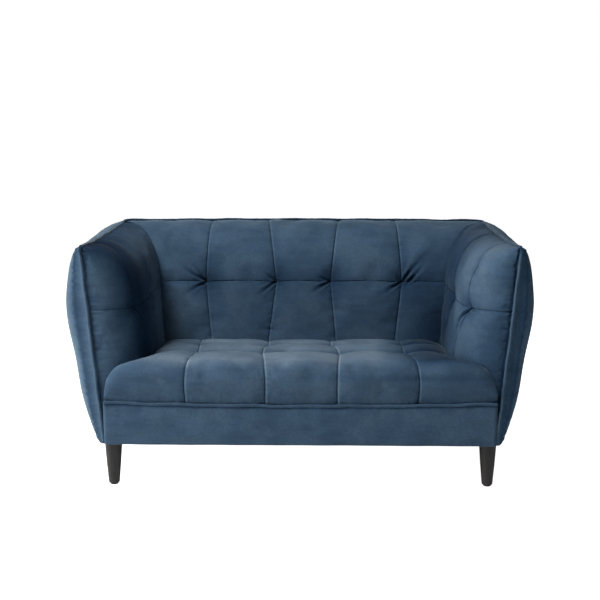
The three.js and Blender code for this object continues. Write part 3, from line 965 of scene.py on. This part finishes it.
# ---- Shells: the padded outer sides and back -----------------

OVERLAP = 0.003  # how far the shells' covers run past each other at the rear corners


def shell_share(from_first, from_last, z, top, reaches, power):
    """Share of its full swelling that a shell has: less towards its seams and its foot."""
    ends = swell(from_first, reaches[0]) * swell(from_last, reaches[1])
    foot = 0.16 * swell(z - BASE, 0.014, 2) + 0.84 * swell(z - BASE, 0.46, 2)
    return ends * swell(top - z, 0.19, power) * foot


def arm_shell_points(thickness):
    """The right arm's outer cover and its painted light and shade. It puffs up behind the welt.

    Its top edge lies just below the piping, and rises into it towards the rear corner.
    """
    u, c = crowded(150)[:, None], crowded(150)[None, :]
    top = arm_top(u) - WELT * (1 - 0.7 * u**4)
    z = lerp(BASE, top, c)
    y = lerp(FRONT_Y + WELT, back_y(z) + OVERLAP, u)
    from_front, from_rear = y - FRONT_Y, back_y(z) - y
    power = lerp(1.6, 2.2, ramp(u, 0.7))
    share = shell_share(from_front, from_rear, z, arm_top(u), (0.13, 0.16), power)
    out = EDGE + (thickness - EDGE) * share
    out = out + puckered(from_front, z, 0.0036, 0.021, 41) + puckered(top - z, y, 0.002, 0.028, 42)
    out = out + 0.0022 * cloudy(y, z, 0.22, 43) * share
    lift = 0.009 * bump(u**1.6) * bump((out - EDGE) / 0.06) * np.exp((z - top) / 0.05)
    # Painted shade beside the front and top piping, and painted light that is strongest low down.
    painted_light = painted_edge_shade(np.minimum(from_front, top - z) - WELT) * lerp(1.55, 1.2, c)
    return np.stack([arm_x(z, u) + out, *np.broadcast_arrays(y, z + lift)], -1), painted_light


def back_shell_points():
    """The outer back's cover, from one rear corner to the other."""
    side, c = 2 * crowded(220)[:, None] - 1, crowded(140)[None, :]
    half = arm_x(BACK_TOP) * side
    z = lerp(BASE, BACK_TOP + top_bow(half) - 0.3 * WELT, c)
    x = side * (arm_x(z) + OVERLAP)
    share = shell_share(arm_x(z) + x, arm_x(z) - x, z, BACK_TOP, (0.24, 0.24), 2.2)
    out = EDGE + (BACK_SHELL - EDGE) * share
    top_away = np.clip(BACK_TOP - z, 0, None)
    out = out + puckered(top_away, x, 0.0016, 0.034, 44) + 0.0025 * cloudy(x, z, 0.26, 45) * share
    return np.stack([x, back_y(z) + out, z + 0 * x], -1)


def build_shells():
    """The outer sides, of which the left one is filled a little more, and the outer back."""

    def tuck_arm(rim_points):
        seam = arm_x(rim_points[:, 2], along_arm(rim_points[:, 1]))
        rim_points[:, 0] = seam + 0.1 * EDGE
        return rim_points

    def tuck_back(rim_points):
        rim_points[:, 1] = back_y(rim_points[:, 2]) + 0.1 * EDGE
        return rim_points

    right, left, rear = (1, 0, 0), (-1, 0, 0), (0, 1, 0)
    points, painted_light = arm_shell_points(ARM_SHELL - 0.006)
    padded_piece("arm_shell_cover_right", points, right, tuck_arm, "arm_shell_right", painted_light)
    points, painted_light = arm_shell_points(ARM_SHELL + 0.002)
    points, tuck = mirror_points(points), mirrored(tuck_arm)
    padded_piece("arm_shell_cover_left", points, left, tuck, "arm_shell_left", painted_light)
    padded_piece("back_shell_cover", back_shell_points(), rear, tuck_back, "back_shell")


# ---- Piping --------------------------------------------------


def tube(name, path, radius, sides, node, painted_light):
    """A closed tube along a path, whose radius and painted light and shade may be one value for each
    point.
    """
    tangent = np.gradient(path, axis=0)
    tangent /= np.linalg.norm(tangent, axis=1, keepdims=True)
    side = np.cross(tangent[0], (0, 0.3, 1))
    frames = []
    for direction in tangent:
        side = side - direction * (side @ direction)
        side = side / np.linalg.norm(side)
        frames.append((side, np.cross(direction, side)))
    turn = np.arange(sides) * 2 * np.pi / sides
    radius = np.broadcast_to(radius, len(path))
    rings = [
        point + r * (np.cos(turn)[:, None] * n + np.sin(turn)[:, None] * m)
        for point, r, (n, m) in zip(path, radius, frames)
    ]
    faces = []
    for ring in range(len(path) - 1):
        for i in range(sides):
            first, second = ring * sides + i, ring * sides + (i + 1) % sides
            faces.append((first, second, second + sides, first + sides))
    last = (len(path) - 1) * sides
    faces += [tuple(range(sides))[::-1], tuple(range(last, last + sides))]
    piece = mesh_object(name, np.concatenate(rings), faces)
    set_painted_light(piece, np.repeat(np.broadcast_to(painted_light, len(path)), sides))
    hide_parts(node)
    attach(piece, "root")


def evenly(path, step):
    """Points `step` apart along a path."""
    run = np.append(0, np.cumsum(np.linalg.norm(np.diff(path, axis=0), axis=1)))
    at = np.linspace(0, run[-1], int(run[-1] / step))
    return np.stack([np.interp(at, run, path[:, i]) for i in range(3)], -1), at


def shell_welt_path():
    """Up the right arm's front, back along its top and half of the back; the rest is mirrored."""
    front_z = np.linspace(BASE + 0.004, ARM_TOP - 0.012, 40)
    front = [(arm_x(z, 0), FRONT_Y - 0.002, z) for z in front_z]
    along = np.linspace(0.02, 0.98, 60)
    top = [(arm_x(arm_top(u), u), lerp(FRONT_Y, REAR_TOP_Y, u), arm_top(u)) for u in along]
    across = np.linspace(0.97, 0, 40)
    rear = [(x, REAR_TOP_Y, BACK_TOP + top_bow(x)) for x in REAR_TOP_HALF * across]
    half = np.array(front + top + rear)
    return np.concatenate([half, mirror_points(half[::-1])[1:]])


def build_piping():
    """The piping along the shells' edges, and the piping under the seat."""
    path, run = evenly(smooth_path(shell_welt_path(), 4), 0.005)
    wander = np.stack([ripple(run, 0.16, 51), ripple(run, 0.21, 52), ripple(run, 0.18, 53)], -1)
    path = path + 0.0011 * wander
    # Along the tops the shell piping is drawn darker: painted shade.
    on_top = ramp(path[:, 2] - ARM_TOP + 0.03, 0.02)
    radius = WELT * (1 + 0.05 * ripple(run, 0.03, 54))
    tube("shell_piping", path, radius, 14, "shell_welt", lerp(1, 0.4, on_top))
    side = np.linspace(-1, 1, 400)
    x = side * (BORDER_HALF - 0.004)
    z = SEAT_WELT_Z + SEAT_WELT_RISE * side**2 + 0.0013 * ripple(x, 0.2, 55)
    y = low("seat_welt").y + WELT + 0.001 * ripple(x, 0.15, 56)
    path = np.stack([x, y, z], -1)
    radius = WELT * (1 + 0.05 * ripple(x, 0.04, 57))
    # The seat piping is drawn a little darker: painted shade.
    tube("seat_piping", path, radius, 14, "seat_welt", 0.9)


# ---- Materials -----------------------------------------------


class Nodes:
    """A material's node tree, with short calls for the few nodes that are used here."""

    def __init__(self, name):
        self.material = bpy.data.materials.new(name)
        self.material.use_nodes = True
        self.tree = self.material.node_tree
        self.shader = self.tree.nodes["Principled BSDF"]
        self.place = self.add("ShaderNodeTexCoord").outputs["Object"]

    def add(self, kind, links=None, **values):
        node = self.tree.nodes.new(kind)
        for key, value in values.items():
            setattr(node, key, value)
        for socket, source in (links or {}).items():
            self.join(source, node.inputs[socket])
        return node

    def join(self, source, socket):
        if isinstance(source, bpy.types.NodeSocket):
            self.tree.links.new(source, socket)
        else:
            socket.default_value = source

    def noise(self, scale, detail=3.0, stretch=(1, 1, 1), roughness=0.5):
        place = self.add("ShaderNodeMapping", {"Vector": self.place, "Scale": stretch})
        links = {"Vector": place.outputs[0], "Scale": scale, "Detail": detail, "Roughness": roughness}
        return self.add("ShaderNodeTexNoise", links).outputs["Fac"]

    def between(self, value, low_in, high_in, low_out, high_out):
        links = {0: value, 1: low_in, 2: high_in, 3: low_out, 4: high_out}
        return self.add("ShaderNodeMapRange", links).outputs[0]

    def mix(self, share, first, second, blend="MIX"):
        node = self.add("ShaderNodeMix", data_type="RGBA", blend_type=blend)
        self.join(share, node.inputs[0])
        self.join(first, node.inputs[6])
        self.join(second, node.inputs[7])
        return node.outputs[2]

    def power(self, value, exponent):
        return self.add("ShaderNodeMath", {0: value, 1: exponent}, operation="POWER").outputs[0]

    def bump(self, height, distance, strength=1.0, below=None):
        links = {"Height": height, "Distance": distance, "Strength": strength}
        if below is not None:
            links["Normal"] = below
        return self.add("ShaderNodeBump", links).outputs[0]

    def finish(self, **values):
        for socket, value in values.items():
            self.join(value, self.shader.inputs[socket.replace("_", " ")])
        return self.material


def scaled(color, factor):
    """A lighter or darker colour."""
    return (*(min(c * factor, 1.0) for c in color), 1.0)


def velvet(name, color, sheen):
    """Short-pile velvet: brushed patches, streaks and pile, painted light and shade, and a sheen at
    grazing angles.

    Where the painted light is above 1 the pile is drawn lighter and greyer, and below 1 darker and
    bluer.
    """
    n = Nodes(name)
    brushed = n.noise(9.0, 5.0, roughness=0.62)
    streaks = n.noise(30.0, 3.0, (0.3, 0.3, 1.7))
    mottle = n.noise(140.0, 3.0, roughness=0.65)
    pile = n.noise(1300.0, 2.0)
    lifted = (*(c * f for c, f in zip(color, (1.42, 1.26, 1.12))), 1.0)
    tone = n.mix(n.between(brushed, 0.41, 0.6, 0, 1), scaled(color, 0.82), lifted)
    tone = n.mix(n.between(streaks, 0.4, 0.62, 0, 0.4), tone, scaled(color, 1.3))
    tone = n.mix(n.between(mottle, 0.36, 0.64, 0.4, 0), tone, scaled(color, 0.68))
    tone = n.mix(n.between(pile, 0.3, 0.7, 0, 0.3), tone, scaled(color, 0.6))
    # Painted light and shade, stored at each point of the mesh, scales the colour; darker is also
    # bluer.
    painted_light = n.add("ShaderNodeAttribute", attribute_name="painted_light").outputs["Fac"]
    tints = {"Red": n.power(painted_light, 1.35), "Green": painted_light, "Blue": n.power(painted_light, 0.75)}
    lit = n.add("ShaderNodeCombineColor", tints).outputs[0]
    tone = n.mix(1.0, tone, lit, "MULTIPLY")
    soft = n.bump(n.noise(70.0, 3.0), 0.0008)
    normal = n.bump(pile, 0.0004, 0.6, n.bump(mottle, 0.0005, 0.7, soft))
    return n.finish(
        Base_Color=tone,
        Roughness=n.between(brushed, 0.3, 0.7, 0.8, 0.95),
        Normal=normal,
        Sheen_Weight=sheen,
        Sheen_Roughness=0.42,
        Sheen_Tint=(0.7, 0.9, 1.0, 1.0),
        Specular_IOR_Level=0.1,
    )


def grained_wood(name, color, contrast, roughness, coat):
    """Wood with its grain along Z."""
    n = Nodes(name)
    grain = n.noise(90.0, 5.0, (1, 1, 0.05), 0.6)
    pores = n.noise(420.0, 2.0, (1, 1, 0.04))
    dark, light = scaled(color, 1 - contrast), scaled(color, 1 + contrast)
    tone = n.mix(n.between(grain, 0.3, 0.7, 0, 1), dark, light)
    tone = n.mix(n.between(pores, 0.55, 0.7, 0, 0.5), tone, scaled(color, 0.5))
    normal = n.bump(pores, 0.0002, 0.4)
    rough = n.between(grain, 0.3, 0.7, roughness - 0.06, roughness + 0.08)
    return n.finish(
        Base_Color=tone, Roughness=rough, Normal=normal, Coat_Weight=coat, Coat_Roughness=0.25
    )


def nonwoven(name, color):
    """Thin felted cloth: random fibres."""
    n = Nodes(name)
    fibres = n.noise(700.0, 4.0, (1, 0.3, 1))
    tone = n.mix(n.between(fibres, 0.35, 0.65, 0, 1), scaled(color, 0.7), scaled(color, 1.4))
    return n.finish(Base_Color=tone, Roughness=0.95, Normal=n.bump(fibres, 0.0004))


def zinc_steel(name):
    """Zinc-plated steel with rubbed patches."""
    n = Nodes(name)
    rub = n.noise(120.0, 3.0)
    tone = n.mix(rub, (0.42, 0.42, 0.43, 1), (0.6, 0.6, 0.62, 1))
    return n.finish(Base_Color=tone, Roughness=n.between(rub, 0.3, 0.7, 0.28, 0.45), Metallic=1.0)


def moulded_plastic(name):
    """Black plastic with a fine moulded skin."""
    n = Nodes(name)
    skin = n.noise(800.0, 2.0)
    return n.finish(Base_Color=(0.02, 0.02, 0.021, 1), Roughness=0.55, Normal=n.bump(skin, 0.0001))


VELVET_BLUE = (0.052, 0.102, 0.173)
VELVET_SHADED = (0.05, 0.11, 0.2)  # the same cloth, bluer, for the right shell, which is in shade: a painted shade colour


def materials_by_slot(cover, piping):
    """A material for each material slot of the record."""
    return {
        "velvet": cover,
        "welt": piping,
        "leg_wood": grained_wood("dark_stained_beech", (0.023, 0.02, 0.019), 0.5, 0.4, 0.1),
        "glide_plastic": moulded_plastic("black_plastic"),
        "frame_wood": grained_wood("pine", (0.56, 0.38, 0.2), 0.18, 0.6, 0.0),
        "board": grained_wood("hardboard", (0.2, 0.12, 0.065), 0.12, 0.7, 0.0),
        "steel": zinc_steel("zinc_steel"),
        "felt": nonwoven("grey_felt", (0.25, 0.25, 0.24)),
        "dust_cover": nonwoven("black_dust_cover", (0.012, 0.012, 0.013)),
    }


def dress():
    """Gives every piece and every frame node its material."""
    cover = velvet("slate_velvet", VELVET_BLUE, 0.45)
    piping = velvet("piping_velvet", VELVET_BLUE, 0.45)
    by_slot = materials_by_slot(cover, piping)
    slots = {part["node"]: part["material_slot"] for part in frame["record"]["subparts"]}
    for name, node in frame["nodes"].items():
        node.data.materials.clear()
        node.data.materials.append(by_slot[slots[name]])
    # These covers get copies of the velvet with less sheen, so that they are drawn darker: painted
    # shade.
    covers = {
        "seat_cover": velvet("slate_velvet_shaded_seat", VELVET_BLUE, 0.2),
        "arm_pad_cover_right": velvet("slate_velvet_shaded_right_arm", VELVET_BLUE, 0.12),
        "arm_pad_cover_left": velvet("slate_velvet_shaded_left_arm", VELVET_BLUE, 0.01),
        "arm_shell_cover_right": velvet("slate_velvet_shaded_right_shell", VELVET_SHADED, 0.1),
    }
    for piece in bpy.context.scene.objects:
        if piece.name.endswith("_piping"):
            piece.data.materials.append(piping)
        elif "_cover" in piece.name and piece.name not in frame["nodes"]:
            piece.data.materials.append(covers.get(piece.name, cover))


# ---- Studio --------------------------------------------------

SOFTBOX_SIZE = 1.7
SOFTBOX_AWAY = 4.4
LIT_HEIGHT = 0.45  # the height that the softboxes point at


def build_floor():
    """A wide floor of white paper. It glows for the camera alone, so that it looks evenly white."""
    x, y = np.meshgrid(np.linspace(-60, 60, 13), np.linspace(-60, 60, 13), indexing="ij")
    points = np.stack([x, y, 0 * x], -1)
    floor = mesh_object("floor", points, faces_for(points, (0, 0, 1)).tolist())
    n = Nodes("paper")
    tone = n.mix(n.noise(3.0), (0.84, 0.84, 0.84, 1), (0.86, 0.86, 0.86, 1))
    n.finish(
        Base_Color=tone,
        Roughness=0.9,
        Emission_Color=(1, 1, 1, 1),
        Emission_Strength=n.add("ShaderNodeLightPath").outputs["Is Camera Ray"],
    )
    floor.data.materials.append(n.material)


def add_softbox(name, azimuth, height, power):
    """A square softbox. Its angles are in degrees, and azimuth 0 is straight in front."""
    turn, lift = math.radians(azimuth), math.radians(height)
    light = bpy.data.objects.new(name, bpy.data.lights.new(name, "AREA"))
    light.data.size = SOFTBOX_SIZE
    light.data.energy = power
    across = math.cos(lift)
    toward = np.array((math.sin(turn) * across, -math.cos(turn) * across, math.sin(lift)))
    light.location = (0, 0, LIT_HEIGHT) + SOFTBOX_AWAY * toward
    light.rotation_euler = (math.pi / 2 - lift, 0, turn)
    light.visible_camera = False
    bpy.context.collection.objects.link(light)


def build_lights():
    """Soft light from the upper left, and a world that is white to the camera but lights faintly."""
    add_softbox("upper_left", -45, 52, 150)
    add_softbox("low_left", -70, 8, 84)
    add_softbox("fill_right", 45, 30, 8)
    add_softbox("rear", 180, 14, 50)
    world = bpy.data.worlds.new("studio")
    world.use_nodes = True
    tree = world.node_tree
    background = tree.nodes["Background"]
    background.inputs["Color"].default_value = (1, 1, 1, 1)
    seen = tree.nodes.new("ShaderNodeLightPath").outputs["Is Camera Ray"]
    level = tree.nodes.new("ShaderNodeMapRange")
    level.inputs["To Min"].default_value = 0.02
    tree.links.new(seen, level.inputs["Value"])
    tree.links.new(level.outputs["Result"], background.inputs["Strength"])
    bpy.context.scene.world = world
    bpy.context.scene.view_settings.view_transform = "Standard"


def build_camera():
    """At chest height, a little to the right of the middle, looking slightly down and left."""
    camera = bpy.data.objects.new("camera", bpy.data.cameras.new("camera"))
    camera.data.lens = 61.9
    camera.location = (0.058, -3.649, 1.212)
    camera.rotation_euler = (math.radians(90 - 10.03), 0, math.radians(1.01))
    bpy.context.collection.objects.link(camera)
    bpy.context.scene.camera = camera


build_camera()
build_lights()
build_floor()
build_back_pad()
build_arm_pads()
build_seat()
build_front_border()
build_shells()
build_piping()
dress()
